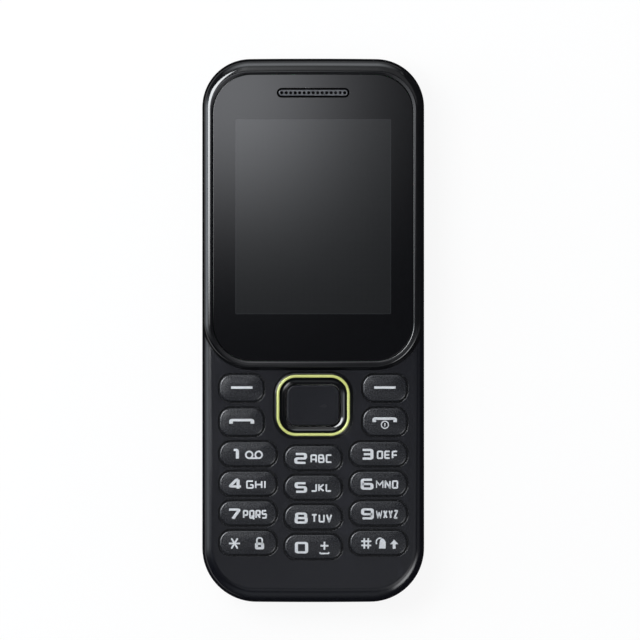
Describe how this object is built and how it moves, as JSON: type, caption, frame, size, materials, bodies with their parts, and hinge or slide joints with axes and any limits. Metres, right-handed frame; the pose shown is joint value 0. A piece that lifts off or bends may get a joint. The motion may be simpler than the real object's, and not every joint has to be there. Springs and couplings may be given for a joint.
{
  "type": "bar phone",
  "caption": "Candy bar phone with a display window over a raised keypad, a four way navigation key, and a lift-off battery cover.",
  "frame": {"origin": "middle of the rest face, under the middle of the phone", "axes": "+X to the right of the face, +Y towards the earpiece end, +Z out of the face"},
  "size_m": [0.046, 0.1127, 0.0131],
  "materials": {
    "front_black": "moulded plastic, glossy on the rim and satin on the key deck",
    "window_clear": "clear window, printed black round the display",
    "grille_metal": "grey metal strip",
    "tin_plate": "tin plated sheet",
    "frame_white": "white plastic",
    "panel_glass": "dark display glass",
    "amber_film": "polyimide film",
    "silicone_grey": "silicone rubber",
    "clear_film": "clear film over metal domes",
    "board_green": "glass fibre board",
    "mesh_black": "woven dust mesh",
    "weight_metal": "sintered tungsten",
    "socket_black": "black plastic",
    "steel_shell": "pressed steel",
    "contact_gold": "gold plated springs in a plastic block",
    "rear_black": "satin black plastic",
    "battery_wrap": "wrapped lithium cell",
    "cover_black": "fine grained black plastic",
    "nav_gloss": "polished black plastic",
    "lime_trim": "lime coloured plastic",
    "key_black": "satin black plastic with silver legends",
    "screw_steel": "steel"
  },
  "bodies": {
    "phone": {"front_housing": "front_black", "display_window": "window_clear", "earpiece_grille": "grille_metal", "earpiece_speaker": "tin_plate", "lcd_frame": "frame_white", "lcd_panel": "panel_glass", "lcd_ribbon": "amber_film", "keypad_mat": "silicone_grey", "dome_sheet": "clear_film", "main_board": "board_green", "shield_can_upper": "tin_plate", "shield_can_lower": "tin_plate", "loudspeaker": "tin_plate", "speaker_mesh": "mesh_black", "microphone": "tin_plate", "vibration_motor": "tin_plate", "headset_jack": "socket_black", "usb_port": "steel_shell", "sim_holder": "steel_shell", "memory_card_holder": "steel_shell", "battery_connector": "contact_gold", "antenna_carrier": "frame_white", "rear_housing": "rear_black", "screw_upper_left": "screw_steel", "screw_upper_right": "screw_steel", "screw_middle_left": "screw_steel", "screw_middle_right": "screw_steel", "screw_lower_left": "screw_steel", "screw_lower_right": "screw_steel"},
    "cover": {"battery_cover": "cover_black"},
    "battery_pack": {"battery": "battery_wrap"},
    "motor_weight": {"vibration_weight": "weight_metal"},
    "nav_rubber": {"nav_pad": "silicone_grey"},
    "nav_rocker": {"nav_ring": "nav_gloss", "nav_trim": "lime_trim"},
    "ok_button": {"key_ok": "key_black"},
    "button_soft_left": {"key_soft_left": "key_black"},
    "button_soft_right": {"key_soft_right": "key_black"},
    "button_call": {"key_call": "key_black"},
    "button_end": {"key_end": "key_black"},
    "button_1": {"key_1": "key_black"},
    "button_2": {"key_2": "key_black"},
    "button_3": {"key_3": "key_black"},
    "button_4": {"key_4": "key_black"},
    "button_5": {"key_5": "key_black"},
    "button_6": {"key_6": "key_black"},
    "button_7": {"key_7": "key_black"},
    "button_8": {"key_8": "key_black"},
    "button_9": {"key_9": "key_black"},
    "button_star": {"key_star": "key_black"},
    "button_0": {"key_0": "key_black"},
    "button_hash": {"key_hash": "key_black"}
  },
  "joints": [
    {"name": "cover_lift", "type": "slide", "parent": "phone", "child": "cover", "axis": [0, 0, -1], "range_m": [0, 0.022]},
    {"name": "battery_lift", "type": "slide", "parent": "phone", "child": "battery_pack", "axis": [0, 0, -1], "range_m": [0, 0.0099]},
    {"name": "motor_spin", "type": "hinge", "parent": "phone", "child": "motor_weight", "pos_m": [0.0109, -0.0282, 0.0055], "axis": [1, 0, 0], "continuous": true},
    {"name": "nav_up_down", "type": "hinge", "parent": "phone", "child": "nav_rubber", "pos_m": [0, -0.01553, 0.01065], "axis": [1, 0, 0], "range_deg": [-2, 2], "stiffness_Nm_per_rad": 0.05},
    {"name": "nav_left_right", "type": "hinge", "parent": "nav_rubber", "child": "nav_rocker", "pos_m": [0, -0.01553, 0.01065], "axis": [0, 1, 0], "range_deg": [-2, 2], "stiffness_Nm_per_rad": 0.05},
    {"name": "press_ok", "type": "slide", "parent": "phone", "child": "ok_button", "axis": [0, 0, -1], "range_m": [0, 0.0003], "stiffness_N_per_m": 400, "springref_m": -0.001},
    {"name": "press_soft_left", "type": "slide", "parent": "phone", "child": "button_soft_left", "axis": [0, 0, -1], "range_m": [0, 0.0003], "stiffness_N_per_m": 400, "springref_m": -0.001},
    {"name": "press_soft_right", "type": "slide", "parent": "phone", "child": "button_soft_right", "axis": [0, 0, -1], "range_m": [0, 0.0003], "stiffness_N_per_m": 400, "springref_m": -0.001},
    {"name": "press_call", "type": "slide", "parent": "phone", "child": "button_call", "axis": [0, 0, -1], "range_m": [0, 0.0003], "stiffness_N_per_m": 400, "springref_m": -0.001},
    {"name": "press_end", "type": "slide", "parent": "phone", "child": "button_end", "axis": [0, 0, -1], "range_m": [0, 0.0003], "stiffness_N_per_m": 400, "springref_m": -0.001},
    {"name": "press_1", "type": "slide", "parent": "phone", "child": "button_1", "axis": [0, 0, -1], "range_m": [0, 0.0003], "stiffness_N_per_m": 400, "springref_m": -0.001},
    {"name": "press_2", "type": "slide", "parent": "phone", "child": "button_2", "axis": [0, 0, -1], "range_m": [0, 0.0003], "stiffness_N_per_m": 400, "springref_m": -0.001},
    {"name": "press_3", "type": "slide", "parent": "phone", "child": "button_3", "axis": [0, 0, -1], "range_m": [0, 0.0003], "stiffness_N_per_m": 400, "springref_m": -0.001},
    {"name": "press_4", "type": "slide", "parent": "phone", "child": "button_4", "axis": [0, 0, -1], "range_m": [0, 0.0003], "stiffness_N_per_m": 400, "springref_m": -0.001},
    {"name": "press_5", "type": "slide", "parent": "phone", "child": "button_5", "axis": [0, 0, -1], "range_m": [0, 0.0003], "stiffness_N_per_m": 400, "springref_m": -0.001},
    {"name": "press_6", "type": "slide", "parent": "phone", "child": "button_6", "axis": [0, 0, -1], "range_m": [0, 0.0003], "stiffness_N_per_m": 400, "springref_m": -0.001},
    {"name": "press_7", "type": "slide", "parent": "phone", "child": "button_7", "axis": [0, 0, -1], "range_m": [0, 0.0003], "stiffness_N_per_m": 400, "springref_m": -0.001},
    {"name": "press_8", "type": "slide", "parent": "phone", "child": "button_8", "axis": [0, 0, -1], "range_m": [0, 0.0003], "stiffness_N_per_m": 400, "springref_m": -0.001},
    {"name": "press_9", "type": "slide", "parent": "phone", "child": "button_9", "axis": [0, 0, -1], "range_m": [0, 0.0003], "stiffness_N_per_m": 400, "springref_m": -0.001},
    {"name": "press_star", "type": "slide", "parent": "phone", "child": "button_star", "axis": [0, 0, -1], "range_m": [0, 0.0003], "stiffness_N_per_m": 400, "springref_m": -0.001},
    {"name": "press_0", "type": "slide", "parent": "phone", "child": "button_0", "axis": [0, 0, -1], "range_m": [0, 0.0003], "stiffness_N_per_m": 400, "springref_m": -0.001},
    {"name": "press_hash", "type": "slide", "parent": "phone", "child": "button_hash", "axis": [0, 0, -1], "range_m": [0, 0.0003], "stiffness_N_per_m": 400, "springref_m": -0.001}
  ],
  "couplings": [
    {"joint": "battery_lift", "follows": "cover_lift", "ratio": 0.45}
  ]
}
